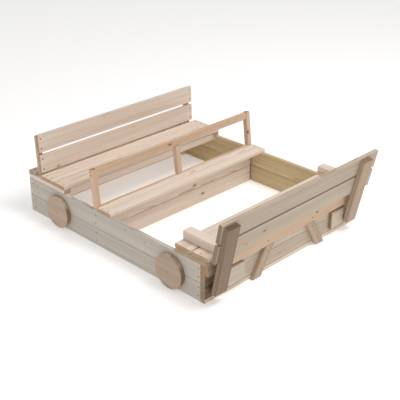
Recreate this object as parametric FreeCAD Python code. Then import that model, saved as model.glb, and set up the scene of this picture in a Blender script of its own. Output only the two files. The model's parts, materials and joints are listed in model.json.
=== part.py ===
"""Car-shaped garden sandbox of solid softwood boards, with a cover that unfolds into a bench.

The box has no floor. A partition splits it into the sand bay at the front and the foot space at the rear.
The cover of the sand bay is three leaves of two boards: a fixed ledge, a seat that folds back onto the
ledge, and a backrest that stands up from the seat's outer edge. It is drawn unfolded, as a bench.
Front is -Y, the left-hand wall is -X, up is +Z, and every length is in millimetres.
"""

import FreeCAD, Part
import math
import os
from FreeCAD import Vector

# --- Driving dimensions -------------------------------------------------------------------------------
BOX_WIDTH = 1110.0  # over the side walls
BOX_LENGTH = 1270.0  # front wall face to rear end of the side walls
WALL_BOARD = 94.8  # height of one wall board; each wall is two boards high
SEAM = 0.4  # open seam between two stacked wall boards
BOARD_THICK = 20.0  # walls, seats, backrests and trim
FRONT_WALL_THICK = 28.0
EDGE_RADIUS = 3.0  # planed round along the grain

BAY_LENGTH = 702.0  # front wall face to the partition's front face
PARTITION_END_GAP = 8.0  # between the partition's ends and the side walls
CLEAT = 26.0  # square batten that holds the partition
CORNER_BATTEN = 40.0  # square batten in each front corner of the box

LEDGE_DEPTH = 184.0  # fixed leaf of the cover, front to back
LEDGE_SEAM = 2.0
SEAT_OVERHANG = 18.0  # folding seat beyond the front wall, unfolded
SEAT_SEAM = 8.0  # open seam inside the folding seat
SHUT_END_GAP = 18.0  # between the shut cover and the dash board
BACK_SEAM = 13.0
BACK_LEAN = 11.7  # degrees past upright
FOLD_GAP = 3.0  # between the ledge and the seat folded onto it
LEAF_GAP = 8.0  # between ledge and seat once the cover is shut
BACK_EDGE_GAP = 6.0  # between seat and backrest once the cover is shut
SHUT_CLEARANCE = 0.3  # cover boards above the wall tops once shut

SEAT_BATTEN_WIDTH = 52.0
SEAT_BATTEN_HEIGHT = 44.0
SEAT_BATTEN_INSET = 50.0  # from the end of the seat boards
BACK_POST_WIDTH = 74.0
BACK_POST_THICK = 26.0
BACK_POST_TOP_DROP = 14.0  # post top below the upper board's top edge
BACK_POST_REACH = 176.0  # post below the fold axis
BACK_POST_INSETS = (14.0, 71.0)  # left and right, from the end of the backrest boards
BACK_END_INSET = 0.0  # backrest boards short of the box at each end
STOP_WIDTH = 37.0
STOP_INSET = 9.0  # stop block in from its post's outer edge

APRON_HEIGHT = 66.0  # rail across the front under the seat
GROUND_LATH = 20.0  # height of the lath along the foot of the front wall
LATH_GROOVE = 2.0  # open groove above that lath
SLAT_WIDTH = 48.0  # the two sloping radiator slats
SLAT_SLOPE = 31.5  # degrees from upright
SLAT_LAMP_GAP = 56.0  # at the foot of each slat
LAMP_WIDTH = 109.0
LAMP_TOP_GAP = 16.0  # under the apron
LAMP_STOP_GAP = 9.0  # between a lamp and the nearer stop block
LAMP_FOOT = 40.0  # underside of each headlamp block above the ground

WHEEL_RADIUS = 84.0
WHEEL_THICK = 25.0
WHEEL_GROUND_GAP = 1.0
FRONT_WHEEL_FROM_FRONT = 206.0
REAR_WHEEL_FROM_REAR = 252.0

DASH_WIDTH = 96.0  # flat board across the wall tops ahead of the windscreen
SCREEN_POST = 28.0  # square windscreen posts
SCREEN_HEIGHT = 208.0  # windscreen posts above the wall tops
SCREEN_LEAN = 6.8  # degrees back from upright
SCREEN_TOP_RAIL = 38.0
SCREEN_FOOT_RAIL = 20.0

REAR_SEAT_BOARD = 95.0
REAR_SEAT_SEAM = 2.0
REAR_RAIL_HEIGHT = 22.0  # rails that lift the rear seat off the wall tops
REAR_STRIP = 42.0  # board behind the rear backrest
REAR_STRIP_GAP = 7.0  # between that board and the backrest posts
REAR_SEAT_BACK_GAP = 9.0  # between the rear seat and its backrest
POST_BATTEN_GAP = 3.0
REAR_APRON_HEIGHT = 44.0
REAR_BACK_END_INSET = 15.0
REAR_BACK_BOARD = 94.0
REAR_BACK_SEAM = 16.0
REAR_BACK_LEAN = 2.8
REAR_POST_THICK = 24.0
REAR_POST_WIDTH = 26.0
REAR_POST_TOP_DROP = 14.0  # post top below the upper board's top edge
REAR_POST_DEPTH = 130.0  # post foot below the wall tops, inside the box
POST_WALL_GAP = 0.5
NOTCH_PLAY = 0.4  # room round a post in the notch of its seat rail

SCREW_HEAD = 4.2  # radius
SCREW_SHANK = 2.0  # radius
SCREW_HEAD_DEPTH = 2.6
SCREW_LENGTH = 42.0
SCREW_FIT = 0.1  # radial room round a screw in its hole
HINGE_SCREW_HEAD = 3.0
HINGE_SCREW_SHANK = 1.5
HINGE_SCREW_LENGTH = 15.0

HINGE_LENGTH = 64.0
HINGE_END_INSET = 255.0  # middle of each outer hinge from the end of the cover
SCREW_SHARES = (0.28, 0.72)  # where two screws stand across the width of a board
PIN_RADIUS = 1.5
PIN_GRIP_FIT = 0.02  # radial, in the leaf that holds the pin
PIN_TURN_FIT = 0.06  # radial, in the leaf that turns on the pin
KNUCKLE_RADIUS = 3.0
KNUCKLE_GAP = 0.4  # along the pin
LEAF_THICK = 1.3
LEAF_CLEAR = 0.4  # between a leaf's plate and the other leaf's knuckles
LEDGE_LEAF_DEPTH = 30.0
BACK_LEAF_DEPTH = 30.0
BACK_AXIS_OUT = 18.0  # fold axis of the backrest beyond the seat's outer edge
BACK_FACE_CLEAR = 0.3  # backrest board under the seat's strap leaf

# --- Sizes worked out from them ------------------------------------------------------------------------
HALF_WIDTH = BOX_WIDTH / 2
WALL_TOP = 2 * WALL_BOARD + SEAM
INNER_HALF = HALF_WIDTH - BOARD_THICK
LEDGE_TOP = WALL_TOP + BOARD_THICK
SEAT_BOTTOM = LEDGE_TOP + FOLD_GAP
SEAT_TOP = SEAT_BOTTOM + BOARD_THICK
LEDGE_AXIS_Y = LEDGE_DEPTH + LEAF_GAP / 2
LEDGE_AXIS_Z = (WALL_TOP + SHUT_CLEARANCE + SEAT_TOP) / 2
SEAT_DEPTH = LEDGE_DEPTH + SEAT_OVERHANG
SEAT_BOARD = (SEAT_DEPTH - SEAT_SEAM) / 2
SEAT_FRONT = LEDGE_DEPTH - SEAT_DEPTH
BACK_AXIS_Y = SEAT_FRONT - BACK_AXIS_OUT
BACK_AXIS_Z = SEAT_TOP + KNUCKLE_RADIUS + 0.1
BACK_FACE_DROP = BACK_AXIS_Z - SEAT_TOP + BACK_FACE_CLEAR  # axis to the backrest's seat-side face
DASH_REAR = BAY_LENGTH + BOARD_THICK - 4.0
SHUT_SEAT_END = 2 * LEDGE_AXIS_Y - SEAT_FRONT
SHUT_ROOM = DASH_REAR - DASH_WIDTH - SHUT_END_GAP - SHUT_SEAT_END - BACK_EDGE_GAP
BACK_BOARD = (SHUT_ROOM - BACK_SEAM) / 2
BACK_LENGTH = BOX_WIDTH - 2 * BACK_END_INSET
BACK_EDGE_Y = SEAT_FRONT - BACK_EDGE_GAP  # backrest's lower edge with the cover laid flat
BACK_TOP_Y = BACK_EDGE_Y - 2 * BACK_BOARD - BACK_SEAM
BACK_FOLD = 90.0 - BACK_LEAN
APRON_FRONT = -BOARD_THICK
APRON_FOOT = LEDGE_TOP - APRON_HEIGHT
LAMP_HEIGHT = APRON_FOOT - LAMP_TOP_GAP - LAMP_FOOT
NEAR_STOP_EDGE = BACK_LENGTH / 2 - max(BACK_POST_INSETS) - STOP_INSET - STOP_WIDTH
LAMP_CENTRE = NEAR_STOP_EDGE - LAMP_STOP_GAP - LAMP_WIDTH / 2
SLAT_RUN = (APRON_FOOT - EDGE_RADIUS) * math.tan(math.radians(SLAT_SLOPE))
SLAT_HALF = SLAT_WIDTH / 2 / math.cos(math.radians(SLAT_SLOPE))
SLAT_CENTRE = LAMP_CENTRE - LAMP_WIDTH / 2 - SLAT_LAMP_GAP - SLAT_HALF - SLAT_RUN / 2
HINGE_STATIONS = (HINGE_END_INSET - HALF_WIDTH, 0.0, HALF_WIDTH - HINGE_END_INSET)
REAR_BACK_LENGTH = BOX_WIDTH - 2 * REAR_BACK_END_INSET
REAR_BACK_FROM_SEAT = 2 * REAR_SEAT_BOARD + REAR_SEAT_SEAM + REAR_SEAT_BACK_GAP
REAR_BATTEN = REAR_STRIP + REAR_STRIP_GAP - BOARD_THICK - POST_BATTEN_GAP
REAR_SEAT_TO_END = REAR_BACK_FROM_SEAT + BOARD_THICK + REAR_POST_THICK + REAR_STRIP_GAP + REAR_STRIP
REAR_SEAT_FRONT = BOX_LENGTH - REAR_SEAT_TO_END
REAR_SEAT_BOTTOM = WALL_TOP + REAR_RAIL_HEIGHT
REAR_SEAT_TOP = REAR_SEAT_BOTTOM + BOARD_THICK
REAR_BACK_FACE = REAR_SEAT_FRONT + REAR_BACK_FROM_SEAT
SIDES = (("left", -1), ("right", 1))

pieces = {}  # node name: its shape
screws = {}  # node name: [(head centre, direction, length, head radius, shank radius, head depth, boards)]


def board(x_range, y_range, z_range, grain):
    """A planed board between the given limits, rounded along its grain ('x', 'y' or 'z')."""
    low = Vector(x_range[0], y_range[0], z_range[0])
    size = Vector(x_range[1], y_range[1], z_range[1]) - low
    box = Part.makeBox(size.x, size.y, size.z, low)
    axis = {"x": Vector(1, 0, 0), "y": Vector(0, 1, 0), "z": Vector(0, 0, 1)}[grain]
    long_edges = [e for e in box.Edges if abs(e.tangentAt(e.FirstParameter).dot(axis)) > 0.99]
    section = sorted((size.x, size.y, size.z))[0]
    return box.makeFillet(min(EDGE_RADIUS, section / 5), long_edges)


def mirrored(side, near, far):
    """An X range measured outwards from the centre line, on the left (-1) or the right (+1)."""
    return tuple(sorted((side * near, side * far)))


def turned(shape, degrees, y, z):
    """A copy of shape turned about the line along X through (y, z)."""
    copy = shape.copy()
    copy.rotate(Vector(0, y, z), Vector(1, 0, 0), degrees)
    return copy


def turned_point(point, degrees, y, z):
    """A point turned in the same way."""
    angle = math.radians(degrees)
    dy, dz = point.y - y, point.z - z
    turned_y = y + dy * math.cos(angle) - dz * math.sin(angle)
    return Vector(point.x, turned_y, z + dy * math.sin(angle) + dz * math.cos(angle))


def add_screw(node, head, direction, boards, length=SCREW_LENGTH, small=False):
    """Notes a countersunk screw, its head flush at head, driven along direction through the named boards."""
    head_radius = HINGE_SCREW_HEAD if small else SCREW_HEAD
    shank_radius = HINGE_SCREW_SHANK if small else SCREW_SHANK
    head_depth = LEAF_THICK if small else SCREW_HEAD_DEPTH
    entry = (head, direction, length, head_radius, shank_radius, head_depth, boards)
    screws.setdefault(node, []).append(entry)


def screw_shape(head, direction, length, head_radius, shank_radius, head_depth, fit=0.0):
    """The screw itself, or with a fit the hole that takes it."""
    direction = Vector(direction).normalize()
    cone = Part.makeCone(head_radius + fit, shank_radius + fit, head_depth, head, direction)
    neck = head + direction * head_depth
    shank = Part.makeCylinder(shank_radius + fit, length - head_depth + fit, neck, direction)
    return cone.fuse(shank).removeSplitter()


def make_box_walls():
    """Side, front and rear walls of two boards each, the partition, and the battens that join them."""
    heights = (("lower", 0.0), ("upper", WALL_BOARD + SEAM))
    rear_face = BOX_LENGTH - BOARD_THICK
    for level, foot in heights:
        z = (foot, foot + WALL_BOARD)
        for name, side in SIDES:
            x = mirrored(side, INNER_HALF, HALF_WIDTH)
            pieces[f"side_wall_{name}_{level}"] = board(x, (FRONT_WALL_THICK, BOX_LENGTH), z, "y")
        inside = (-INNER_HALF, INNER_HALF)
        pieces[f"rear_wall_{level}"] = board(inside, (rear_face, BOX_LENGTH), z, "x")
        partition = (-INNER_HALF + PARTITION_END_GAP, INNER_HALF - PARTITION_END_GAP)
        thickness = (BAY_LENGTH, BAY_LENGTH + BOARD_THICK)
        pieces[f"partition_{level}"] = board(partition, thickness, z, "x")
        front = (GROUND_LATH + LATH_GROOVE, z[1]) if level == "lower" else z
        across = (-HALF_WIDTH, HALF_WIDTH)
        pieces[f"front_wall_{level}"] = board(across, (0.0, FRONT_WALL_THICK), front, "x")
    lath = (0.0, GROUND_LATH)
    pieces["front_ground_lath"] = board((-HALF_WIDTH, HALF_WIDTH), (0.0, FRONT_WALL_THICK), lath, "x")
    batten_height = (0.0, WALL_TOP)
    corners = (
        ("front_corner_battens", (FRONT_WALL_THICK, FRONT_WALL_THICK + CORNER_BATTEN), CORNER_BATTEN),
        ("rear_corner_battens", (rear_face - REAR_BATTEN, rear_face), REAR_BATTEN),
        ("partition_cleats", (BAY_LENGTH + BOARD_THICK, BAY_LENGTH + BOARD_THICK + CLEAT), CLEAT),
    )
    for node, y, width in corners:
        pair = [
            board(mirrored(side, INNER_HALF - width, INNER_HALF), y, batten_height, "z")
            for _, side in SIDES
        ]
        pieces[node] = Part.makeCompound(pair)


def screw_box_walls():
    """Screws through the walls into their battens."""
    rear_face = BOX_LENGTH - BOARD_THICK
    for level, foot in (("lower", 0.0), ("upper", WALL_BOARD + SEAM)):
        for name, side in SIDES:
            wall = f"side_wall_{name}_{level}"
            stations = (
                (FRONT_WALL_THICK + 0.3 * CORNER_BATTEN, "front_corner_battens"),
                (rear_face - 0.5 * REAR_BATTEN, "rear_corner_battens"),
                (BAY_LENGTH + BOARD_THICK + CLEAT / 2, "partition_cleats"),
            )
            for y, batten in stations:
                for share in SCREW_SHARES:
                    head = Vector(side * HALF_WIDTH, y, foot + share * WALL_BOARD)
                    add_screw("frame_screws", head, Vector(-side, 0, 0), (wall, batten))
            x = side * (INNER_HALF - 0.65 * CORNER_BATTEN)
            middle = foot + 0.55 * WALL_BOARD
            front = (f"front_wall_{level}", "front_corner_battens")
            add_screw("frame_screws", Vector(x, 0, middle), Vector(0, 1, 0), front)
            rear = (f"rear_wall_{level}", "rear_corner_battens")
            x = side * (INNER_HALF - 0.55 * REAR_BATTEN)
            add_screw("frame_screws", Vector(x, BOX_LENGTH, middle), Vector(0, -1, 0), rear)
            x = side * (INNER_HALF - 0.55 * CLEAT)
            held = (f"partition_{level}", "partition_cleats")
            add_screw("frame_screws", Vector(x, BAY_LENGTH, middle), Vector(0, 1, 0), held)


def make_ledge_and_dash():
    """The two fixed boards of the cover's ledge, and the dash board behind the sand bay."""
    width = (LEDGE_DEPTH - LEDGE_SEAM) / 2
    z = (WALL_TOP, LEDGE_TOP)
    across = (-HALF_WIDTH, HALF_WIDTH)
    starts = (("outer", 0.0), ("inner", width + LEDGE_SEAM))
    boards = [(f"ledge_board_{name}", y, width) for name, y in starts]
    boards.append(("dash_board", DASH_REAR - DASH_WIDTH, DASH_WIDTH))
    for node, y, depth in boards:
        pieces[node] = board(across, (y, y + depth), z, "x")
        for name, side in SIDES:
            for share in SCREW_SHARES:
                head = Vector(side * (HALF_WIDTH - BOARD_THICK / 2), y + share * depth, LEDGE_TOP)
                held = (node, f"side_wall_{name}_upper", "front_wall_upper")
                add_screw("frame_screws", head, Vector(0, 0, -1), held)


def make_front_trim():
    """Apron, radiator slats, headlamp blocks and backrest stops on the front wall."""
    front = (APRON_FRONT, 0.0)
    apron_foot = APRON_FOOT
    both_walls = ("front_wall_lower", "front_wall_upper")
    pieces["front_apron"] = board((-HALF_WIDTH, HALF_WIDTH), front, (apron_foot, LEDGE_TOP), "x")
    for x in (-0.9, -0.3, 0.3, 0.9):
        head = Vector(x * INNER_HALF, APRON_FRONT, apron_foot + 0.35 * APRON_HEIGHT)
        add_screw("frame_screws", head, Vector(0, 1, 0), ("front_apron", "front_wall_upper"))
    run, half = SLAT_RUN, SLAT_HALF
    for name, side in SIDES:
        top, foot = side * (SLAT_CENTRE - run / 2), side * (SLAT_CENTRE + run / 2)
        outline = [(foot - half, 0.0), (foot + half, 0.0), (top + half, apron_foot), (top - half, apron_foot)]
        points = [Vector(x, APRON_FRONT, z) for x, z in outline]
        face = Part.Face(Part.makePolygon(points + points[:1]))
        slat = face.extrude(Vector(0, BOARD_THICK, 0))
        long_edges = [e for e in slat.Edges if abs(e.BoundBox.ZLength - apron_foot) < 0.1]
        pieces[f"radiator_slat_{name}"] = slat.makeFillet(EDGE_RADIUS * 0.8, long_edges)
        for share in (0.3, 0.82):
            head = Vector(foot + share * (top - foot), APRON_FRONT, share * apron_foot)
            held = (f"radiator_slat_{name}", *both_walls)
            add_screw("frame_screws", head, Vector(0, 1, 0), held)
        x = mirrored(side, LAMP_CENTRE - LAMP_WIDTH / 2, LAMP_CENTRE + LAMP_WIDTH / 2)
        z = (LAMP_FOOT, LAMP_FOOT + LAMP_HEIGHT)
        pieces[f"headlamp_{name}"] = board(x, front, z, "x")
        for share in (0.2, 0.8):
            head = Vector(x[0] + share * LAMP_WIDTH, FRONT_WALL_THICK, LAMP_FOOT + LAMP_HEIGHT * 0.35)
            held = (f"headlamp_{name}", *both_walls)
            add_screw("frame_screws", head, Vector(0, -1, 0), held)


def make_wheels():
    """Four dummy wheels, each a disc screwed flat to a side wall."""
    centre_z = WHEEL_RADIUS + WHEEL_GROUND_GAP
    stations = (("front", FRONT_WHEEL_FROM_FRONT), ("rear", BOX_LENGTH - REAR_WHEEL_FROM_REAR))
    for name, side in SIDES:
        for end, y in stations:
            node = f"wheel_{end}_{name}"
            outward = Vector(side, 0, 0)
            hub = Vector(side * HALF_WIDTH, y, centre_z)
            disc = Part.makeCylinder(WHEEL_RADIUS, WHEEL_THICK, hub, outward)
            rims = [e for e in disc.Edges if isinstance(e.Curve, Part.Circle)]
            pieces[node] = disc.makeFillet(EDGE_RADIUS, rims)
            head = Vector(side * (HALF_WIDTH + WHEEL_THICK), y, centre_z)
            held = (node, f"side_wall_{name}_lower", f"side_wall_{name}_upper")
            add_screw("wheel_screws", head, -outward, held)


def cut_level(shape, height):
    """A leaning piece sawn off level at a height, so that it stands flat."""
    limits = shape.BoundBox
    corner = Vector(limits.XMin - 1, limits.YMin - 1, height - SCREEN_HEIGHT)
    below = Part.makeBox(limits.XLength + 2, limits.YLength + 2, SCREEN_HEIGHT, corner)
    return shape.cut(below)


def make_windscreen():
    """Leaning frame behind the dash board: two end posts, a middle post and a top rail, over a foot rail."""
    lean = (-SCREEN_LEAN, DASH_REAR, WALL_TOP)
    y = (DASH_REAR, DASH_REAR + SCREEN_POST)
    centre_y = sum(y) / 2
    rail_y = (centre_y - BOARD_THICK / 2, centre_y + BOARD_THICK / 2)
    foot_y = (DASH_REAR, DASH_REAR + BOARD_THICK)
    top = WALL_TOP + SCREEN_HEIGHT
    rail_half = HALF_WIDTH - SCREEN_POST
    rail_foot = top - SCREEN_TOP_RAIL
    foot_top = WALL_TOP + SCREEN_FOOT_RAIL
    start = WALL_TOP - SCREEN_POST  # posts are drawn over-long and sawn off level
    rail = board((-rail_half, rail_half), rail_y, (rail_foot, top), "x")
    pieces["windscreen_top_rail"] = turned(rail, *lean)
    pieces["windscreen_foot_rail"] = board((-rail_half, rail_half), foot_y, (WALL_TOP, foot_top), "x")
    middle = board((-SCREEN_POST / 2, SCREEN_POST / 2), y, (start, rail_foot), "z")
    pieces["windscreen_post_middle"] = cut_level(turned(middle, *lean), foot_top)
    for name, side in SIDES:
        post = f"windscreen_post_{name}"
        upright = board(mirrored(side, rail_half, HALF_WIDTH), y, (start, top), "z")
        pieces[post] = cut_level(turned(upright, *lean), WALL_TOP)
        for share in (0.25, 0.75):
            head = Vector(side * HALF_WIDTH, centre_y, top - share * SCREEN_TOP_RAIL)
            held = (post, "windscreen_top_rail")
            add_screw("frame_screws", turned_point(head, *lean), Vector(-side, 0, 0), held, SCREEN_POST + 26.0)
        head = Vector(side * HALF_WIDTH, sum(foot_y) / 2 + SCREW_SHANK, sum((WALL_TOP, foot_top)) / 2)
        held = (post, "windscreen_foot_rail")
        add_screw("frame_screws", head, Vector(-side, 0, 0), held, SCREEN_POST + 26.0)
    down = turned_point(Vector(0, 0, -1), -SCREEN_LEAN, 0, 0)
    held = ("windscreen_top_rail", "windscreen_post_middle")
    head = turned_point(Vector(0, centre_y, top), *lean)
    add_screw("frame_screws", head, down, held, SCREEN_TOP_RAIL + 24.0)
    for x in (-0.75, -0.25, 0.25, 0.75):
        head = Vector(x * rail_half, foot_y[1], WALL_TOP + BOARD_THICK / 2)
        add_screw("frame_screws", head, Vector(0, -1, 0), ("windscreen_foot_rail", "dash_board"))


def make_rear_bench():
    """Rear seat on two rails, its apron, and a fixed backrest of two boards on two posts."""
    rail_half = HALF_WIDTH - 2 * BOARD_THICK
    across = (-HALF_WIDTH, HALF_WIDTH)
    seat_z = (REAR_SEAT_BOTTOM, REAR_SEAT_TOP)
    for name, side in SIDES:
        x = mirrored(side, rail_half, HALF_WIDTH)
        rail = board(x, (REAR_SEAT_FRONT, BOX_LENGTH), (WALL_TOP, REAR_SEAT_BOTTOM), "y")
        pieces[f"rear_seat_rail_{name}"] = rail
    second = REAR_SEAT_FRONT + REAR_SEAT_BOARD + REAR_SEAT_SEAM
    strip = BOX_LENGTH - REAR_STRIP
    seats = (
        ("rear_seat_board_front", REAR_SEAT_FRONT, REAR_SEAT_BOARD),
        ("rear_seat_board_back", second, REAR_SEAT_BOARD),
        ("rear_strip_board", strip, REAR_STRIP),
    )
    for node, y, depth in seats:
        pieces[node] = board(across, (y, y + depth), seat_z, "x")
        shares = (0.5,) if depth < REAR_SEAT_BOARD else SCREW_SHARES
        for name, side in SIDES:
            for share in shares:
                head = Vector(side * (HALF_WIDTH - BOARD_THICK), y + share * depth, REAR_SEAT_TOP)
                held = (node, f"rear_seat_rail_{name}")
                length = BOARD_THICK + 0.8 * REAR_RAIL_HEIGHT
                add_screw("frame_screws", head, Vector(0, 0, -1), held, length)
    apron_z = (REAR_SEAT_BOTTOM - REAR_APRON_HEIGHT, REAR_SEAT_BOTTOM)
    apron_y = (REAR_SEAT_FRONT + 2 * EDGE_RADIUS, REAR_SEAT_FRONT + 2 * EDGE_RADIUS + BOARD_THICK)
    apron_x = (-INNER_HALF, INNER_HALF)
    apron = board(apron_x, apron_y, apron_z, "x")
    for name, _ in SIDES:
        apron = apron.cut(pieces[f"rear_seat_rail_{name}"])
    pieces["rear_seat_apron"] = apron
    for x in (-0.6, 0.0, 0.6):
        head = Vector(x * INNER_HALF, sum(apron_y) / 2, REAR_SEAT_TOP)
        add_screw("frame_screws", head, Vector(0, 0, -1), ("rear_seat_board_front", "rear_seat_apron"))
    make_rear_backrest()


def make_rear_backrest():
    """Two backrest boards and their posts, which stand in the gap between the seat and the strip board."""
    half = REAR_BACK_LENGTH / 2
    pivot = (REAR_BACK_FACE, REAR_SEAT_TOP)
    lower_foot = REAR_SEAT_TOP + EDGE_RADIUS
    upper_foot = lower_foot + REAR_BACK_BOARD + REAR_BACK_SEAM
    back_y = (REAR_BACK_FACE, REAR_BACK_FACE + BOARD_THICK)
    post_y = (back_y[1], back_y[1] + REAR_POST_THICK)
    post_top = upper_foot + REAR_BACK_BOARD - REAR_POST_TOP_DROP
    post_foot = WALL_TOP - REAR_POST_DEPTH
    post_edge = INNER_HALF - POST_WALL_GAP
    for name, side in SIDES:
        post = f"rear_backrest_post_{name}"
        x = mirrored(side, post_edge - REAR_POST_WIDTH, post_edge)
        upright = board(x, post_y, (post_foot, post_top), "z")
        upright = turned(upright, -REAR_BACK_LEAN, *pivot)
        pieces[post] = upright
        rail = f"rear_seat_rail_{name}"
        notch_x = (x[0] - NOTCH_PLAY, x[1] + NOTCH_PLAY)
        notch_y = (post_y[0] - NOTCH_PLAY, post_y[1] + NOTCH_PLAY)
        corner = Vector(notch_x[0], notch_y[0], post_foot - NOTCH_PLAY)
        size = (notch_x[1] - notch_x[0], notch_y[1] - notch_y[0], post_top - post_foot)
        notch = turned(Part.makeBox(*size, corner), -REAR_BACK_LEAN, *pivot)
        pieces[rail] = pieces[rail].cut(notch)
        for depth in (0.25, 0.5):
            at = Vector(side * HALF_WIDTH, sum(post_y) / 2, WALL_TOP - depth * REAR_POST_DEPTH)
            at = turned_point(at, -REAR_BACK_LEAN, *pivot)
            held = (f"side_wall_{name}_upper", post)
            add_screw("frame_screws", at, Vector(-side, 0, 0), held)
    for level, foot in (("lower", lower_foot), ("upper", upper_foot)):
        node = f"rear_backrest_board_{level}"
        flat = board((-half, half), back_y, (foot, foot + REAR_BACK_BOARD), "x")
        pieces[node] = turned(flat, -REAR_BACK_LEAN, *pivot)
        for name, side in SIDES:
            for share in (0.22, 0.78):
                z = foot + share * REAR_BACK_BOARD
                head = Vector(side * (post_edge - 0.35 * REAR_POST_WIDTH), REAR_BACK_FACE, z)
                head = turned_point(head, -REAR_BACK_LEAN, *pivot)
                inward = turned_point(Vector(0, 1, 0), -REAR_BACK_LEAN, 0, 0)
                held = (node, f"rear_backrest_post_{name}")
                add_screw("frame_screws", head, inward, held)


def make_folding_seat():
    """Seat leaf of the cover, lying on the ledge with its two battens upwards."""
    across = (-HALF_WIDTH, HALF_WIDTH)
    starts = (("inner", LEDGE_DEPTH - SEAT_BOARD), ("outer", SEAT_FRONT))
    for name, y in starts:
        pieces[f"seat_board_{name}"] = board(across, (y, y + SEAT_BOARD), (SEAT_BOTTOM, SEAT_TOP), "x")
    for name, side in SIDES:
        outer = HALF_WIDTH - SEAT_BATTEN_INSET
        x = mirrored(side, outer - SEAT_BATTEN_WIDTH, outer)
        z = (SEAT_TOP, SEAT_TOP + SEAT_BATTEN_HEIGHT)
        pieces[f"seat_batten_{name}"] = board(x, (SEAT_FRONT, LEDGE_DEPTH), z, "y")
        for level, y in starts:
            for share in SCREW_SHARES:
                head = Vector(sum(x) / 2, y + share * SEAT_BOARD, SEAT_BOTTOM)
                held = (f"seat_board_{level}", f"seat_batten_{name}")
                add_screw("seat_screws", head, Vector(0, 0, 1), held)


def make_folding_back():
    """Backrest leaf: two boards on two posts that reach below them, drawn flat and then stood up."""
    face = BACK_AXIS_Z - BACK_FACE_DROP
    boards_z = (face - BOARD_THICK, face)
    posts_z = (boards_z[0] - BACK_POST_THICK, boards_z[0])
    half = BACK_LENGTH / 2
    axis = (BACK_AXIS_Y, BACK_AXIS_Z)
    levels = (("lower", BACK_EDGE_Y - BACK_BOARD), ("upper", BACK_TOP_Y))
    posts = zip(SIDES, BACK_POST_INSETS)
    for (name, side), inset in posts:
        x = mirrored(side, half - inset - BACK_POST_WIDTH, half - inset)
        y = (BACK_TOP_Y + BACK_POST_TOP_DROP, BACK_AXIS_Y + BACK_POST_REACH)
        pieces[f"back_post_{name}"] = turned(board(x, y, posts_z, "y"), -BACK_FOLD, *axis)
        for level, start in levels:
            for share in SCREW_SHARES:
                head = Vector(sum(x) / 2, start + share * BACK_BOARD, posts_z[0])
                head = turned_point(head, -BACK_FOLD, *axis)
                inward = turned_point(Vector(0, 0, 1), -BACK_FOLD, 0, 0)
                held = (f"back_post_{name}", f"back_board_{level}")
                add_screw("back_screws", head, inward, held, BACK_POST_THICK + 0.75 * BOARD_THICK)
    for level, start in levels:
        flat = board((-half, half), (start, start + BACK_BOARD), boards_z, "x")
        pieces[f"back_board_{level}"] = turned(flat, -BACK_FOLD, *axis)


def make_back_stops():
    """A block behind each backrest post's foot, which the post leans on."""
    foot = Vector(0, BACK_AXIS_Y + BACK_POST_REACH, BACK_AXIS_Z - BACK_FACE_DROP - BOARD_THICK)
    foot = turned_point(foot, -BACK_FOLD, BACK_AXIS_Y, BACK_AXIS_Z)
    half = BACK_LENGTH / 2
    for (name, side), inset in zip(SIDES, BACK_POST_INSETS):
        outer = half - inset - STOP_INSET
        x = mirrored(side, outer - STOP_WIDTH, outer)
        y = (foot.y + SHUT_CLEARANCE, 0.0)
        z = (foot.z - BOARD_THICK / 2, foot.z + BOARD_THICK / 2)
        node = f"back_stop_{name}"
        pieces[node] = board(x, y, z, "x")
        head = Vector(sum(x) / 2, y[0], sum(z) / 2)
        held = (node, "front_wall_lower", "front_wall_upper")
        add_screw("frame_screws", head, Vector(0, 1, 0), held)


def knuckle_ranges(station):
    """X ranges of the three knuckles of a hinge: the two outer ones, then the middle one."""
    start = station - HINGE_LENGTH / 2
    outer = HINGE_LENGTH * 0.26
    left = (start, start + outer)
    right = (start + HINGE_LENGTH - outer, start + HINGE_LENGTH)
    return [left, right], [(left[1] + KNUCKLE_GAP, right[0] - KNUCKLE_GAP)]


def hinge_leaf(station, knuckles, plate_z, depth, reach, direction, axis, bore):
    """One leaf: a plate and its knuckles on the axis.

    The plate starts at reach from the axis, runs depth further along direction (+1 or -1 in Y), and
    lies between the heights in plate_z. A tab joins it to each of its own knuckles.
    """
    y, z = axis
    start = station - HINGE_LENGTH / 2
    near, far = y + direction * reach, y + direction * (reach + depth)
    low_y, high_y = sorted((near, far))
    height = plate_z[1] - plate_z[0]
    leaf = Part.makeBox(HINGE_LENGTH, high_y - low_y, height, Vector(start, low_y, plate_z[0]))
    for x0, x1 in knuckles:
        along = Vector(1, 0, 0)
        barrel = Part.makeCylinder(KNUCKLE_RADIUS, x1 - x0, Vector(x0, y, z), along)
        tab_low, tab_high = sorted((near, y + direction * PIN_RADIUS))
        tab = Part.makeBox(x1 - x0, tab_high - tab_low, height, Vector(x0, tab_low, plate_z[0]))
        leaf = leaf.fuse([barrel, tab])
    hole = Part.makeCylinder(PIN_RADIUS + bore, HINGE_LENGTH + 2, Vector(start - 1, y, z), Vector(1, 0, 0))
    return leaf.cut(hole).removeSplitter()


def leaf_screws(node, leaf, target, station, y, z, direction, turn=None):
    """Two small screws through a leaf into the board behind it."""
    for share in (-0.3, 0.3):
        head = Vector(station + share * HINGE_LENGTH, y, z)
        drive = Vector(0, 0, direction)
        if turn:
            head = turned_point(head, *turn)
            drive = turned_point(drive, turn[0], 0, 0)
        add_screw(node, head, drive, (leaf, target), HINGE_SCREW_LENGTH, small=True)


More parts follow.
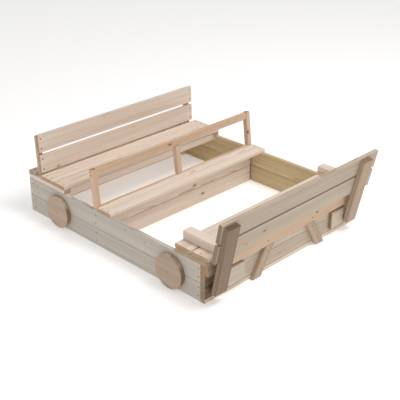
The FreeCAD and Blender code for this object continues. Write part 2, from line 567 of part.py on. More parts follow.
def make_hinges():
    """Three hinges between ledge and seat, three strap hinges between seat and backrest, and their pins."""
    ledge_axis = (LEDGE_AXIS_Y, LEDGE_AXIS_Z)
    back_axis = (BACK_AXIS_Y, BACK_AXIS_Z)
    reach = KNUCKLE_RADIUS + LEAF_CLEAR
    leaves = {name: [] for name in ("ledge_hinge_leaves", "seat_hinge_leaves", "seat_straps", "back_leaves")}
    pins = []
    ledge_plate = (LEDGE_TOP, LEDGE_TOP + LEAF_THICK)
    seat_plate = (SEAT_BOTTOM - LEAF_THICK, SEAT_BOTTOM)
    strap_plate = (SEAT_TOP, SEAT_TOP + LEAF_THICK)
    back_face = BACK_AXIS_Z - BACK_FACE_DROP
    back_plate = (back_face, back_face + LEAF_THICK)
    strap_depth = BACK_AXIS_OUT - reach + BACK_LEAF_DEPTH
    for station in HINGE_STATIONS:
        outer, middle = knuckle_ranges(station)
        fixed = hinge_leaf(station, outer, ledge_plate, LEDGE_LEAF_DEPTH, reach, -1, ledge_axis, PIN_TURN_FIT)
        moving = hinge_leaf(station, middle, seat_plate, LEDGE_LEAF_DEPTH, reach, -1, ledge_axis, PIN_GRIP_FIT)
        strap = hinge_leaf(station, middle, strap_plate, strap_depth, reach, 1, back_axis, PIN_GRIP_FIT)
        back = hinge_leaf(station, outer, back_plate, BACK_LEAF_DEPTH, reach, -1, back_axis, PIN_TURN_FIT)
        leaves["ledge_hinge_leaves"].append(fixed)
        leaves["seat_hinge_leaves"].append(moving)
        leaves["seat_straps"].append(strap)
        leaves["back_leaves"].append(turned(back, -BACK_FOLD, *back_axis))
        for y, z in (ledge_axis, back_axis):
            start = Vector(station - HINGE_LENGTH / 2, y, z)
            pins.append(Part.makeCylinder(PIN_RADIUS, HINGE_LENGTH, start, Vector(1, 0, 0)))
        middle_y = LEDGE_AXIS_Y - reach - LEDGE_LEAF_DEPTH / 2
        up, down = 1, -1
        leaf_screws("frame_screws", "ledge_hinge_leaves", "ledge_board_inner", station, middle_y,
                    ledge_plate[1], down)
        leaf_screws("seat_screws", "seat_hinge_leaves", "seat_board_inner", station, middle_y,
                    seat_plate[0], up)
        strap_y = SEAT_FRONT + 0.55 * BACK_LEAF_DEPTH
        leaf_screws("seat_screws", "seat_straps", "seat_board_outer", station, strap_y,
                    strap_plate[1], down)
        leaf_y = BACK_AXIS_Y - reach - BACK_LEAF_DEPTH / 2
        leaf_screws("back_screws", "back_leaves", "back_board_lower", station, leaf_y,
                    back_plate[1], down, (-BACK_FOLD, *back_axis))
    for node, shapes in leaves.items():
        pieces[node] = Part.makeCompound(shapes)
    pieces["hinge_pins"] = Part.makeCompound(pins)


def drill_and_add_screws():
    """Cuts each screw's hole in the boards that it holds, then adds the screws as their own solids."""
    holes = {}
    for node, entries in screws.items():
        for *spec, boards in entries:
            hole = screw_shape(*spec, fit=SCREW_FIT)
            for name in boards:
                holes.setdefault(name, []).append(hole)
        pieces[node] = Part.makeCompound([screw_shape(*spec) for *spec, _ in entries])
    for name, cutters in holes.items():
        solids = [solid.cut(cutters) for solid in pieces[name].Solids]
        drilled = [s for shape in solids for s in shape.Solids]
        pieces[name] = drilled[0] if len(drilled) == 1 else Part.makeCompound(drilled)


def write_parts():
    """Moves the origin to the middle of the footprint on the ground and writes one STEP file per node."""
    lengths = [limit for s in pieces.values() for limit in (s.BoundBox.YMin, s.BoundBox.YMax)]
    shift = Vector(0, -(min(lengths) + max(lengths)) / 2, 0)
    os.makedirs("parts", exist_ok=True)
    for name, shape in sorted(pieces.items()):
        placed = shape.copy()
        placed.translate(shift)
        if not placed.isValid() or not placed.Solids:
            raise ValueError(f"{name} is not a sound solid")
        placed.exportStep(f"parts/{name}.step")
    print(f"{len(pieces)} nodes, origin {-shift.y:.3f} mm behind the front wall's face")
    print(f"ledge axis y {LEDGE_AXIS_Y + shift.y:.4f} z {LEDGE_AXIS_Z:.4f}")
    print(f"back axis y {BACK_AXIS_Y + shift.y:.4f} z {BACK_AXIS_Z:.4f} fold {BACK_FOLD:.3f}")


def main():
    """Builds the whole sandbox."""
    make_box_walls()
    screw_box_walls()
    make_ledge_and_dash()
    make_front_trim()
    make_wheels()
    make_windscreen()
    make_rear_bench()
    make_folding_seat()
    make_folding_back()
    make_back_stops()
    make_hinges()
    drill_and_add_screws()
    write_parts()


main()
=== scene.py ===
# %% [markdown]
# # A car-shaped sandbox whose cover unfolds into a bench
# The real thing is screwed together from planed, untreated softwood boards. Its shape comes ready made
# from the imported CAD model. This notebook gives every board its own slice of a tree, puts drives in the
# screw heads, lights the piece softly and looks at it from above its front left corner.

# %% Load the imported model
import json
import math
import bpy
import numpy as np
from mathutils import Matrix, Vector

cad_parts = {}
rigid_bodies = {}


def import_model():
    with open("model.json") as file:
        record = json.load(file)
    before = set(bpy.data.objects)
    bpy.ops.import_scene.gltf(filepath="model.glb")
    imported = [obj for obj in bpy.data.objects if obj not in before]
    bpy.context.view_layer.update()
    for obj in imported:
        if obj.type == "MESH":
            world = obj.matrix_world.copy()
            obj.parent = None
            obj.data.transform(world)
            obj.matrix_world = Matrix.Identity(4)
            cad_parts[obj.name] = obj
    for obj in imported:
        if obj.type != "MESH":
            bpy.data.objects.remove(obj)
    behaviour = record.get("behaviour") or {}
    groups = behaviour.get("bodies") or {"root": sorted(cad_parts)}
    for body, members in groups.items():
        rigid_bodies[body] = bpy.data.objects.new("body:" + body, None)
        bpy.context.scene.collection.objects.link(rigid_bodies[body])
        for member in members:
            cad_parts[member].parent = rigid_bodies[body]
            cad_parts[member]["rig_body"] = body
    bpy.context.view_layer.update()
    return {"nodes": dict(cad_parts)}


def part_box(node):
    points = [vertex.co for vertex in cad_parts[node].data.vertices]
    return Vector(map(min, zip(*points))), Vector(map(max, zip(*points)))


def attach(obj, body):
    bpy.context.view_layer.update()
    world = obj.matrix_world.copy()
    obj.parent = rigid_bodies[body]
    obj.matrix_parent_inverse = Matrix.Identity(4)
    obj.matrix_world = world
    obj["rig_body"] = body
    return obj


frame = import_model()
nodes = frame["nodes"]

# %% [markdown]
# ## Grain belongs to the board
# Wood is a solid: its growth rings are nested cylinders round the pith of the trunk. A board is a slice
# of them, so the same rings are long arches on its face and short arcs on its end. One 3-D pattern
# gives both at once, if each board's coordinates are first turned to run along its own grain and moved
# to some distance from the pith. That is truer than stretching a flat pattern over each side.

# %% A small helper for node trees
def wire(tree, kind, settings=None, inputs=None):
    """Adds one node, sets its properties and its input values or links, and returns it."""
    node = tree.nodes.new(kind)
    for key, value in (settings or {}).items():
        setattr(node, key, value)
    for key, value in (inputs or {}).items():
        if isinstance(value, bpy.types.NodeSocket):
            tree.links.new(value, node.inputs[key])
        else:
            node.inputs[key].default_value = value
    return node


def math_node(tree, operation, a, b=0.0, clamp=False):
    """One Math node's output."""
    settings = {"operation": operation, "use_clamp": clamp}
    return wire(tree, "ShaderNodeMath", settings, {0: a, 1: b}).outputs[0]


def smooth_range(tree, value, low, high, out_low=0.0, out_high=1.0):
    """Value carried smoothly from low..high to out_low..out_high."""
    inputs = {"Value": value, "From Min": low, "From Max": high, "To Min": out_low, "To Max": out_high}
    node = wire(tree, "ShaderNodeMapRange", {"interpolation_type": "SMOOTHSTEP"}, inputs)
    return node.outputs["Result"]


def new_group(name, inputs, outputs):
    """An empty shader node group with the given sockets: its tree, input node and output node."""
    tree = bpy.data.node_groups.new(name, "ShaderNodeTree")
    for direction, sockets in (("INPUT", inputs), ("OUTPUT", outputs)):
        for label, kind, *default in sockets:
            socket = tree.interface.new_socket(name=label, in_out=direction, socket_type=kind)
            if default:
                socket.default_value = default[0]
    return tree, tree.nodes.new("NodeGroupInput"), tree.nodes.new("NodeGroupOutput")


FLOAT, VECTOR = "NodeSocketFloat", "NodeSocketVector"
print("helpers ready")

# %% [markdown]
# ## Growth rings
# Each ring goes slowly from pale early wood to a darker late band, then drops back sharply. Distance
# from the pith, in ring widths, has a whole part (which ring) and a fraction (where in it). The pith
# wanders a little along the trunk, which turns straight lines on a face into arches.

# %% Group: growth rings
def make_ring_group():
    """Late wood = rise over 0.30..0.88 of a ring times fall over 0.93..1.00 of it."""
    inputs = [("Vector", VECTOR), ("Pith Across", FLOAT, 0.05), ("Pith Deep", FLOAT, 0.05),
              ("Ring Width", FLOAT, 0.003), ("Seed", FLOAT, 0.0)]
    tree, source, sink = new_group("growth_rings", inputs, [("Late Wood", FLOAT), ("Streak", FLOAT)])
    seed = source.outputs["Seed"]
    slow = wire(tree, "ShaderNodeVectorMath", {"operation": "MULTIPLY"},
                {0: source.outputs["Vector"], 1: (1.6, 9.0, 9.0)}).outputs[0]
    bend = wire(tree, "ShaderNodeTexNoise", {"noise_dimensions": "4D"},
                {"Vector": slow, "W": seed, "Scale": 1.0, "Detail": 2.0})
    centred = wire(tree, "ShaderNodeVectorMath", {"operation": "SUBTRACT"},
                   {0: bend.outputs["Color"], 1: (0.5, 0.5, 0.5)}).outputs[0]
    sway = wire(tree, "ShaderNodeVectorMath", {"operation": "SCALE"}, {0: centred, "Scale": 0.034}).outputs[0]
    pith = wire(tree, "ShaderNodeCombineXYZ", None,
                {1: source.outputs["Pith Across"], 2: source.outputs["Pith Deep"]}).outputs[0]
    moved = wire(tree, "ShaderNodeVectorMath", {"operation": "ADD"},
                 {0: source.outputs["Vector"], 1: sway}).outputs[0]
    moved = wire(tree, "ShaderNodeVectorMath", {"operation": "ADD"}, {0: moved, 1: pith}).outputs[0]
    flat = wire(tree, "ShaderNodeVectorMath", {"operation": "MULTIPLY"}, {0: moved, 1: (0, 1, 1)}).outputs[0]
    radius = wire(tree, "ShaderNodeVectorMath", {"operation": "LENGTH"}, {0: flat}).outputs["Value"]
    rings = math_node(tree, "DIVIDE", radius, source.outputs["Ring Width"])
    part = math_node(tree, "FRACT", rings)
    rise = smooth_range(tree, part, 0.30, 0.88)
    fall = smooth_range(tree, part, 0.93, 1.0, 1.0, 0.0)
    which = math_node(tree, "FLOOR", rings)
    strength = wire(tree, "ShaderNodeTexWhiteNoise", {"noise_dimensions": "2D"},
                    {"Vector": wire(tree, "ShaderNodeCombineXYZ", None, {0: which, 1: seed}).outputs[0]})
    year = smooth_range(tree, strength.outputs["Value"], 0.0, 1.0, 0.35, 1.0)
    late = math_node(tree, "MULTIPLY", math_node(tree, "MULTIPLY", rise, fall), year)
    broad = wire(tree, "ShaderNodeVectorMath", {"operation": "MULTIPLY"},
                 {0: source.outputs["Vector"], 1: (1.3, 42.0, 42.0)}).outputs[0]
    streak = wire(tree, "ShaderNodeTexNoise", {"noise_dimensions": "4D"},
                  {"Vector": broad, "W": seed, "Scale": 1.0, "Detail": 3.0}).outputs["Fac"]
    tree.links.new(late, sink.inputs["Late Wood"])
    tree.links.new(smooth_range(tree, streak, 0.3, 0.72), sink.inputs["Streak"])
    return tree


growth_rings = make_ring_group()
print("growth_rings:", len(growth_rings.nodes), "nodes")

# %% [markdown]
# ## Knots
# A knot is where a branch left the trunk: a small dark disc with a darker rim, drawn out a little along
# the grain. Cells scattered in space, with only some of them kept, place knots at chance distances.

# %% Group: knots
def make_knot_group():
    """Distance to the nearest cell point, in a space squeezed along the grain, under a size per cell."""
    inputs = [("Vector", VECTOR), ("Seed", FLOAT, 0.0), ("Share", FLOAT, 0.3)]
    tree, source, sink = new_group("knots", inputs, [("Core", FLOAT), ("Halo", FLOAT)])
    shift = wire(tree, "ShaderNodeCombineXYZ", None, {0: source.outputs["Seed"]}).outputs[0]
    spread = wire(tree, "ShaderNodeVectorMath", {"operation": "MULTIPLY"},
                  {0: source.outputs["Vector"], 1: (7.0, 13.0, 13.0)}).outputs[0]
    spread = wire(tree, "ShaderNodeVectorMath", {"operation": "ADD"}, {0: spread, 1: shift}).outputs[0]
    cells = wire(tree, "ShaderNodeTexVoronoi", None, {"Vector": spread, "Scale": 1.0, "Randomness": 1.0})
    chance = wire(tree, "ShaderNodeSeparateColor", None, {0: cells.outputs["Color"]})
    kept = math_node(tree, "LESS_THAN", chance.outputs[0], source.outputs["Share"])
    size = smooth_range(tree, chance.outputs[1], 0.0, 1.0, 0.035, 0.085)
    reach = math_node(tree, "DIVIDE", cells.outputs["Distance"], size)
    core = math_node(tree, "MULTIPLY", smooth_range(tree, reach, 0.75, 1.05, 1.0, 0.0), kept)
    halo = math_node(tree, "MULTIPLY", smooth_range(tree, reach, 0.9, 2.4, 1.0, 0.0), kept)
    tree.links.new(core, sink.inputs["Core"])
    tree.links.new(halo, sink.inputs["Halo"])
    return tree


knots = make_knot_group()
print("knots:", len(knots.nodes), "nodes")

# %% [markdown]
# ## Planed surface
# A planer leaves short raised fibres and faint ripples across the board. They hardly change the colour,
# but they break up the sheen and catch low light, so this group gives a height and a roughness.

# %% Group: planed fibres
def make_fibre_group():
    """Fine noise drawn out 60 times along the grain, plus a shallow ripple every 5 mm along it."""
    inputs = [("Vector", VECTOR), ("Seed", FLOAT, 0.0)]
    tree, source, sink = new_group("planed_fibres", inputs, [("Fibre", FLOAT), ("Height", FLOAT)])
    fine = wire(tree, "ShaderNodeVectorMath", {"operation": "MULTIPLY"},
                {0: source.outputs["Vector"], 1: (14.0, 850.0, 850.0)}).outputs[0]
    fibre = wire(tree, "ShaderNodeTexNoise", {"noise_dimensions": "4D"},
                 {"Vector": fine, "W": source.outputs["Seed"], "Scale": 1.0, "Detail": 2.0}).outputs["Fac"]
    along = wire(tree, "ShaderNodeSeparateXYZ", None, {0: source.outputs["Vector"]}).outputs[0]
    ripple = math_node(tree, "SINE", math_node(tree, "MULTIPLY", along, 2 * math.pi / 0.005))
    height = math_node(tree, "ADD", fibre, math_node(tree, "MULTIPLY", ripple, 0.06))
    tree.links.new(fibre, sink.inputs["Fibre"])
    tree.links.new(height, sink.inputs["Height"])
    return tree


planed_fibres = make_fibre_group()
print("planed_fibres:", len(planed_fibres.nodes), "nodes")

# %% [markdown]
# ## One material per board
# Boards in one piece of furniture come from different trees, so each has its own pith distance, ring
# width, knots and tone. The tones are families: pale seats and backrests, greyer side walls,
# warmer trim and wheels, and the darker posts and slats at the front. Board ends, where the saw cut
# across the fibres, drink in light and look darker. The left ends of the front wall and its apron carry
# painted shade behind the post: its shadow, darkened into their colour. A fixed random order makes the
# same boards on every run.

# %% Board material
TONES = {
    "seat": ((0.86, 0.75, 0.655), (0.58, 0.425, 0.31)),
    "side": ((0.635, 0.58, 0.525), (0.385, 0.32, 0.245)),
    # Painted shade: this yellower tone copies the bounce-lit shade inside the box onto the right side wall
    # and the rear backrest posts.
    "painted_shade_side": ((0.66, 0.53, 0.33), (0.42, 0.285, 0.125)),
    "front": ((0.66, 0.575, 0.475), (0.43, 0.33, 0.225)),
    "front_back": ((0.585, 0.505, 0.41), (0.36, 0.27, 0.185)),
    "trim": ((0.74, 0.56, 0.415), (0.48, 0.29, 0.16)),
    "mid_trim": ((0.54, 0.42, 0.315), (0.34, 0.235, 0.155)),
    "dark_trim": ((0.32, 0.235, 0.16), (0.19, 0.125, 0.075)),
    "wheel": ((0.555, 0.43, 0.335), (0.37, 0.245, 0.155)),
}
# The right side wall and the rear backrest posts take the tone of painted shade.
TONE_STARTS = (
    ("side_wall_right", "painted_shade_side"), ("rear_backrest_post", "painted_shade_side"), ("side_wall_left", "side"),
    ("front_wall", "front"), ("headlamp", "front"), ("front_apron", "trim"), ("windscreen", "trim"),
    ("back_post_left", "dark_trim"), ("back_stop_left", "dark_trim"), ("back_post_right", "mid_trim"),
    ("radiator_slat", "mid_trim"),
    ("back_board", "front_back"), ("wheel", "wheel"),
)


def tone_of(node):
    """The tone family of a board, from the start of its name; seats, backrests and the rest are pale."""
    return next((tone for start, tone in TONE_STARTS if node.startswith(start)), "seat")


KNOT_CORE = (0.20, 0.11, 0.06, 1.0)
KNOT_HALO = (0.50, 0.33, 0.19, 1.0)
LATE_SHARE, STREAK_SHARE, FIBRE_SHARE = 0.64, 0.34, 0.10  # pull of each pattern towards late wood
HALO_SHARE = 0.55
KNOT_DENT, LATE_RIDGE = 0.8, 0.5  # surface height, against that of the fibres
END_GRAIN = (0.60, 0.50, 0.38, 1.0)  # multiplies the colour where the fibres are cut across
# Painted shade: the post's shadow on the front face at the left ends of the front wall and its apron,
# darkened into their colour.
PAINTED_SHADE, PAINTED_SHADE_TO = (0.12, 0.068, 0.038, 1.0), -0.445  # on the front face, up to this X
PAINTED_SHADE_FADE = 0.05
PAINTED_SHADE_STRENGTH = {"front_wall_lower": 1.0, "front_wall_upper": 1.0, "front_apron": 0.6}
rng = np.random.default_rng(27)


def wood_material(name, tone, turn, centre, knot_share, painted_shade_strength=0.0):
    """Planed softwood for one board. turn is the Euler angle that brings its grain onto X."""
    mat = bpy.data.materials.new(name)
    mat.use_nodes = True
    tree = mat.node_tree
    tree.nodes.clear()
    seed = float(rng.uniform(0, 60))
    across, deep = float(rng.uniform(-0.05, 0.05)), float(rng.uniform(0.02, 0.11))
    ring_width = float(rng.uniform(0.0026, 0.0048))
    shade = float(rng.uniform(0.93, 1.04))
    coordinates = wire(tree, "ShaderNodeTexCoord").outputs
    place, normal = coordinates["Object"], coordinates["Normal"]
    centred = wire(tree, "ShaderNodeMapping", None, {"Vector": place, "Location": [-c for c in centre]})
    grain = wire(tree, "ShaderNodeMapping", None, {"Vector": centred.outputs[0], "Rotation": turn}).outputs[0]

    def use(group, **values):
        node = tree.nodes.new("ShaderNodeGroup")
        node.node_tree = group
        tree.links.new(grain, node.inputs["Vector"])
        for key, value in values.items():
            node.inputs[key.replace("_", " ")].default_value = value
        return node.outputs

    rings = use(growth_rings, Pith_Across=across, Pith_Deep=deep, Ring_Width=ring_width, Seed=seed)
    knot = use(knots, Seed=seed, Share=knot_share)
    fibres = use(planed_fibres, Seed=seed)
    early, late = ([c * shade for c in colour] + [1.0] for colour in TONES[tone])

    def mix(factor, a, b, blend="MIX"):
        node = wire(tree, "ShaderNodeMix", {"data_type": "RGBA", "blend_type": blend})
        for index, value in ((0, factor), (6, a), (7, b)):
            if isinstance(value, bpy.types.NodeSocket):
                tree.links.new(value, node.inputs[index])
            else:
                node.inputs[index].default_value = value
        return node.outputs[2]

    amount = math_node(tree, "MULTIPLY", rings["Late Wood"], LATE_SHARE)
    amount = math_node(tree, "ADD", amount, math_node(tree, "MULTIPLY", rings["Streak"], STREAK_SHARE))
    amount = math_node(tree, "ADD", amount, math_node(tree, "MULTIPLY", fibres["Fibre"], FIBRE_SHARE), True)
    colour = mix(amount, early, late)
    facing = wire(tree, "ShaderNodeMapping", {"vector_type": "NORMAL"}, {"Vector": normal, "Rotation": turn})
    lengthwise = wire(tree, "ShaderNodeSeparateXYZ", None, {0: facing.outputs[0]}).outputs[0]
    cut_across = smooth_range(tree, math_node(tree, "ABSOLUTE", lengthwise), 0.75, 0.95)
    colour = mix(cut_across, colour, END_GRAIN, "MULTIPLY")
    colour = mix(math_node(tree, "MULTIPLY", knot["Halo"], HALO_SHARE), colour, KNOT_HALO)
    colour = mix(knot["Core"], colour, KNOT_CORE)
    # Painted shade: the post's shadow darkened into the front face up to a given X, uneven along the streaks.
    if painted_shade_strength:
        x = wire(tree, "ShaderNodeSeparateXYZ", None, {0: place}).outputs[0]
        front = wire(tree, "ShaderNodeSeparateXYZ", None, {0: normal}).outputs[1]
        painted_shade_mask = math_node(tree, "MULTIPLY", smooth_range(tree, front, -0.9, -0.5, 1.0, 0.0),
                          smooth_range(tree, x, PAINTED_SHADE_TO, PAINTED_SHADE_TO + PAINTED_SHADE_FADE, 1.0, 0.0))
        uneven = smooth_range(tree, rings["Streak"], 0.0, 1.0, 0.62 * painted_shade_strength, 0.9 * painted_shade_strength)
        colour = mix(math_node(tree, "MULTIPLY", painted_shade_mask, uneven), colour, PAINTED_SHADE)
    rough = smooth_range(tree, fibres["Fibre"], 0.2, 0.8, 0.58, 0.78)
    dent = math_node(tree, "MULTIPLY", knot["Core"], KNOT_DENT)
    raised = math_node(tree, "SUBTRACT", fibres["Height"], dent)
    raised = math_node(tree, "ADD", raised, math_node(tree, "MULTIPLY", rings["Late Wood"], LATE_RIDGE))
    bump = wire(tree, "ShaderNodeBump", None, {"Strength": 0.25, "Distance": 0.0006, "Height": raised})
    shader = wire(tree, "ShaderNodeBsdfPrincipled", None,
                  {"Base Color": colour, "Roughness": rough, "Normal": bump.outputs[0]})
    shader.inputs["Specular IOR Level"].default_value = 0.3
    out = wire(tree, "ShaderNodeOutputMaterial")
    tree.links.new(shader.outputs[0], out.inputs[0])
    return mat


print("tones:", sorted(TONES))

# %% [markdown]
# ## Which way each board's grain runs
# Grain follows a board's length. For most boards the CAD box shows it: the longest side. Leaning posts
# and sloping slats need their true angle as well, so that the rings don't cut across them. A wheel is
# a disc sawn from wide boards, with its grain level.

# %% Turn and dress every wooden node
LEANING = {"back_post_left": 11.7, "back_post_right": 11.7,
           "rear_backrest_post_left": -2.8, "rear_backrest_post_right": -2.8,
           "windscreen_post_left": -6.8, "windscreen_post_middle": -6.8, "windscreen_post_right": -6.8}
SLAT_SLOPE = 31.5
SCREW_NODES = ("back_screws", "frame_screws", "seat_screws", "wheel_screws")
LEAF_NODES = ("back_leaves", "ledge_hinge_leaves", "seat_hinge_leaves", "seat_straps")
STEEL_NODES = SCREW_NODES + LEAF_NODES + ("hinge_pins",)


def grain_turn(node, low, high):
    """Euler angle that brings the board's grain onto X: its longest side, or its lean where it has one."""
    size = [h - l for l, h in zip(low, high)]
    if node in LEANING:
        return (math.radians(-LEANING[node]), math.radians(90), 0)
    if node.startswith("radiator_slat"):
        side = -1 if node.endswith("left") else 1
        return (0, math.radians(90 + side * SLAT_SLOPE), 0)
    if node.startswith("wheel"):
        return (0, 0, math.radians(-90))
    if node.endswith(("battens", "cleats")):
        return (0, math.radians(90), 0)
    return ((0, 0, 0), (0, 0, math.radians(-90)), (0, math.radians(90), 0))[size.index(max(size))]


dressed = 0
for name in sorted(nodes):
    if name in STEEL_NODES:
        continue
    low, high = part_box(name)
    centre = (low + high) / 2
    share = float(rng.uniform(0.20, 0.50))
    mat = wood_material(f"wood_{name}", tone_of(name), grain_turn(name, low, high), centre, share,
                        painted_shade_strength=PAINTED_SHADE_STRENGTH.get(name, 0.0))
    nodes[name].data.materials.clear()
    nodes[name].data.materials.append(mat)
    dressed += 1
print(dressed, "boards dressed")

# %% [markdown]
# ## Steel
# The screws have a dull yellow chromate coat that darkens in use; the hinge leaves are zinc plated, with
# the cloudy crystals that zinc has, and the pins are bare drawn steel with fine lines round them.

# %% Group: cloudy metal, and the steel materials
def make_cloud_group():
    """Slow noise for the colour and fine noise for the roughness."""
    tree, source, sink = new_group("cloudy_metal", [("Vector", VECTOR), ("Scale", FLOAT, 300.0)],
                                   [("Cloud", FLOAT), ("Grain", FLOAT)])
    cloud = wire(tree, "ShaderNodeTexVoronoi", None,
                 {"Vector": source.outputs["Vector"], "Scale": source.outputs["Scale"]})
    grain = wire(tree, "ShaderNodeTexNoise", None,
                 {"Vector": source.outputs["Vector"], "Scale": 2600.0, "Detail": 3.0})
    tree.links.new(cloud.outputs["Distance"], sink.inputs["Cloud"])
    tree.links.new(grain.outputs["Fac"], sink.inputs["Grain"])
    return tree


cloudy_metal = make_cloud_group()


def steel_material(name, bright, dull, rough, scale):
    """Metal whose colour drifts between two tones and whose roughness is mottled."""
    mat = bpy.data.materials.new(name)
    mat.use_nodes = True
    tree = mat.node_tree
    tree.nodes.clear()
    place = wire(tree, "ShaderNodeTexCoord").outputs["Object"]
    group = tree.nodes.new("ShaderNodeGroup")
    group.node_tree = cloudy_metal
    group.inputs["Scale"].default_value = scale
    tree.links.new(place, group.inputs["Vector"])
    mix = wire(tree, "ShaderNodeMix", {"data_type": "RGBA"})
    tree.links.new(group.outputs["Cloud"], mix.inputs[0])
    mix.inputs[6].default_value = bright + (1.0,)
    mix.inputs[7].default_value = dull + (1.0,)
    roughness = smooth_range(tree, group.outputs["Grain"], 0.3, 0.7, rough - 0.08, rough + 0.1)
    bump = wire(tree, "ShaderNodeBump", None,
                {"Strength": 0.15, "Distance": 0.0001, "Height": group.outputs["Grain"]})
    shader = wire(tree, "ShaderNodeBsdfPrincipled", None,
                  {"Base Color": mix.outputs[2], "Roughness": roughness, "Normal": bump.outputs[0]})
    shader.inputs["Metallic"].default_value = 1.0
    out = wire(tree, "ShaderNodeOutputMaterial")
    tree.links.new(shader.outputs[0], out.inputs[0])
    return mat


screw_steel = steel_material("screw_steel", (0.46, 0.39, 0.29), (0.27, 0.22, 0.16), 0.46, 900.0)
hinge_steel = steel_material("hinge_steel", (0.64, 0.64, 0.63), (0.48, 0.49, 0.50), 0.38, 420.0)
pin_steel = steel_material("pin_steel", (0.56, 0.55, 0.54), (0.42, 0.41, 0.40), 0.30, 700.0)
for group_nodes, mat in ((SCREW_NODES, screw_steel), (LEAF_NODES, hinge_steel), (("hinge_pins",), pin_steel)):
    for name in group_nodes:
        nodes[name].data.materials.clear()
        nodes[name].data.materials.append(mat)
print("steel on", len(STEEL_NODES), "nodes")

# %% [markdown]
# ## Drives in the screw heads
# A plain disc is no screw: each head has a six-lobed drive. It is too small to be worth cutting, so a
# thin dark star lies on each head, painted shade standing in for the drive's recess. The heads are found
# in the mesh itself: a screw's far ends differ, since its head is wide and its point is narrow.

# %% Find the screw heads
def islands(mesh):
    """Vertex positions of each separate solid. Triangles that share a corner's place belong together."""
    count = len(mesh.vertices)
    places = np.empty(count * 3)
    mesh.vertices.foreach_get("co", places)
    places = places.reshape(-1, 3)
    _, same = np.unique(np.round(places, 6), axis=0, return_inverse=True)
    same = same.reshape(-1)
    corners = np.empty(len(mesh.loops), np.int64)
    mesh.loops.foreach_get("vertex_index", corners)
    tris = same[corners].reshape(-1, 3)
    label = np.arange(same.max() + 1)
    while True:
        lowest = label[tris].min(axis=1)
        new = label.copy()
        np.minimum.at(new, tris.reshape(-1), np.repeat(lowest, 3))
        new = new[new]
        if (new == label).all():
            break
        label = new
    group = label[same]
    return [places[group == g] for g in np.unique(group)]


END_SLICE = 1e-4  # metres of a screw's end that count as outermost


def head_of(points):
    """Centre of the head, the way it faces, and its radius, from one screw's points.

    The screw's own line is the direction in which its points spread most. The head is the end whose
    outermost points lie furthest from that line.
    """
    middle = points.mean(0)
    line = np.linalg.svd(points - middle, full_matrices=False)[2][0]
    along = (points - middle) @ line
    away = np.linalg.norm((points - middle) - along[:, None] * line, axis=1)
    top = away[along > along.max() - END_SLICE].max()
    bottom = away[along < along.min() + END_SLICE].max()
    if bottom > top:
        line, along, top = -line, -along, bottom
    return middle + line * along.max(), line, top


heads = {name: [head_of(p) for p in islands(nodes[name].data)] for name in SCREW_NODES}
print("screws:", {name: len(found) for name, found in heads.items()})

# %% Lay a six-lobed star on each head
LOBES, STAR_STEPS = 6, 36
STAR_LIFT = 0.00004


def star_points(centre, facing, radius):
    """Rim r(t) = radius * (0.50 + 0.07 cos 6t), flat on the head, plus its middle point."""
    t = np.linspace(0, 2 * math.pi, STAR_STEPS, endpoint=False)
    r = radius * (0.50 + 0.07 * np.cos(LOBES * t))
    helper = np.array([0.0, 0.0, 1.0]) if abs(facing[2]) < 0.9 else np.array([1.0, 0.0, 0.0])
    u = np.cross(facing, helper)
    u /= np.linalg.norm(u)
    v = np.cross(facing, u)
    rim = centre + facing * STAR_LIFT + np.outer(r * np.cos(t), u) + np.outer(r * np.sin(t), v)
    return np.vstack([rim, centre + facing * STAR_LIFT])


def make_stars(name, found):
    """One mesh of stars, each a fan of triangles from its middle to its rim."""
    verts = np.vstack([star_points(*head) for head in found])
    k = np.arange(STAR_STEPS)
    fan = np.column_stack([np.full(STAR_STEPS, STAR_STEPS), k, (k + 1) % STAR_STEPS])
    faces = np.vstack([fan + i * (STAR_STEPS + 1) for i in range(len(found))])
    mesh = bpy.data.meshes.new(name)
    mesh.from_pydata(verts.tolist(), [], faces.tolist())
    mesh.update()
    obj = bpy.data.objects.new(name, mesh)
    bpy.context.scene.collection.objects.link(obj)
    return obj


# Painted shade: the drive recess is not cut, so its shade is a dark star laid on each head.
drive_painted_shade = steel_material("drive_painted_shade", (0.10, 0.085, 0.07), (0.05, 0.045, 0.04), 0.7, 1200.0)
for name, found in heads.items():
    stars = make_stars(name.replace("screws", "screw_drives"), found)
    stars.data.materials.append(drive_painted_shade)
    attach(stars, nodes[name]["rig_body"])

# %% [markdown]
# ## Studio
# A pale floor that reaches past the view and glows a little, which lightens the shadows on it, a bright
# even surround, and one broad soft light from high above, a little ahead and to the right. The tops are
# brightest, and the left side gets a weaker, cooler light of its own.

# %% Colours are shown as they are chosen
bpy.context.scene.view_settings.view_transform = "Standard"
print("view transform:", bpy.context.scene.view_settings.view_transform)

# %% Floor
floor_mesh = bpy.data.meshes.new("studio_floor")
REACH = 14.0
FLOOR_DROP = 0.0005  # keeps the paper clear of the walls' lower edges
PAPER_SHADE, PAPER_GLOW = 0.93, 0.30
floor_mesh.from_pydata([(-REACH, -REACH, 0), (REACH, -REACH, 0), (REACH, REACH, 0), (-REACH, REACH, 0)],
                       [], [(0, 1, 2, 3)])
floor = bpy.data.objects.new("studio_floor", floor_mesh)
bpy.context.scene.collection.objects.link(floor)
floor.location.z = -FLOOR_DROP
paper = bpy.data.materials.new("pale_paper")
paper.use_nodes = True
paper_sockets = paper.node_tree.nodes["Principled BSDF"].inputs
paper_sockets["Base Color"].default_value = (PAPER_SHADE, PAPER_SHADE, PAPER_SHADE, 1)
paper_sockets["Roughness"].default_value = 0.9
paper_sockets["Emission Color"].default_value = (1, 1, 1, 1)
paper_sockets["Emission Strength"].default_value = PAPER_GLOW
floor_mesh.materials.append(paper)
print("floor", REACH * 2, "m square")

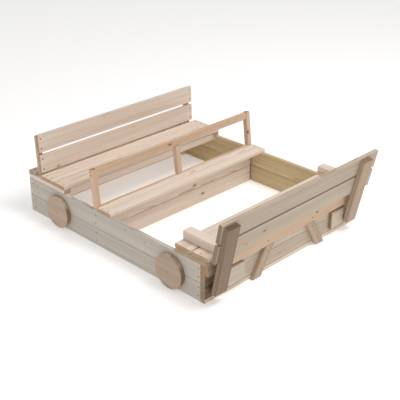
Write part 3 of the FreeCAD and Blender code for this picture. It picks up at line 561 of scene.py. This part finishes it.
# %% Lights
world = bpy.data.worlds.new("studio_world")
bpy.context.scene.world = world
world.use_nodes = True
surround = world.node_tree.nodes["Background"].inputs
surround["Color"].default_value = (1.0, 0.99, 0.98, 1)
surround["Strength"].default_value = 0.52


def soft_light(name, place, target, size, power, colour):
    """A square area light at place, facing target."""
    data = bpy.data.lights.new(name, "AREA")
    data.size, data.energy, data.color = size, power, colour
    light = bpy.data.objects.new(name, data)
    bpy.context.scene.collection.objects.link(light)
    light.location = place
    light.rotation_euler = (Vector(target) - Vector(place)).to_track_quat("-Z", "Y").to_euler()
    return light


soft_light("front_soft", (0.9, -1.9, 4.3), (0, 0, 0.1), 2.0, 112.0, (1.0, 0.985, 0.965))
soft_light("left_fill", (-3.4, -0.4, 1.4), (0, 0, 0.1), 2.0, 7.0, (0.95, 0.98, 1.0))
print("lights placed")

# %% [markdown]
# ## Camera
# The view is from above the front left corner. Its place is a direction and a distance from a point
# just behind the middle of the box, and it is rolled by a fraction of a degree.

# %% Camera
AZIMUTH, ELEVATION, ROLL = math.radians(-45.456), math.radians(26.599), math.radians(0.232)
DISTANCE = 4.36935
TARGET = np.array([0.014567, 0.017127, 0.095])
SENSOR = 36.0
FOCAL_WIDTHS = 2.1178
forward = -np.array([math.sin(AZIMUTH) * math.cos(ELEVATION), -math.cos(AZIMUTH) * math.cos(ELEVATION),
                     math.sin(ELEVATION)])
right = np.cross(forward, (0, 0, 1))
right /= np.linalg.norm(right)
up = np.cross(right, forward)
rolled_right = right * math.cos(ROLL) + up * math.sin(ROLL)
rolled_up = up * math.cos(ROLL) - right * math.sin(ROLL)
eye = TARGET - forward * DISTANCE
matrix = np.eye(4)
matrix[:3, 0], matrix[:3, 1], matrix[:3, 2], matrix[:3, 3] = rolled_right, rolled_up, -forward, eye
camera_data = bpy.data.cameras.new("studio_camera")
camera_data.sensor_width = SENSOR
camera_data.lens = FOCAL_WIDTHS * SENSOR
camera = bpy.data.objects.new("studio_camera", camera_data)
bpy.context.scene.collection.objects.link(camera)
camera.matrix_world = Matrix(matrix.tolist())
bpy.context.scene.camera = camera
print("camera at", np.round(eye, 3))
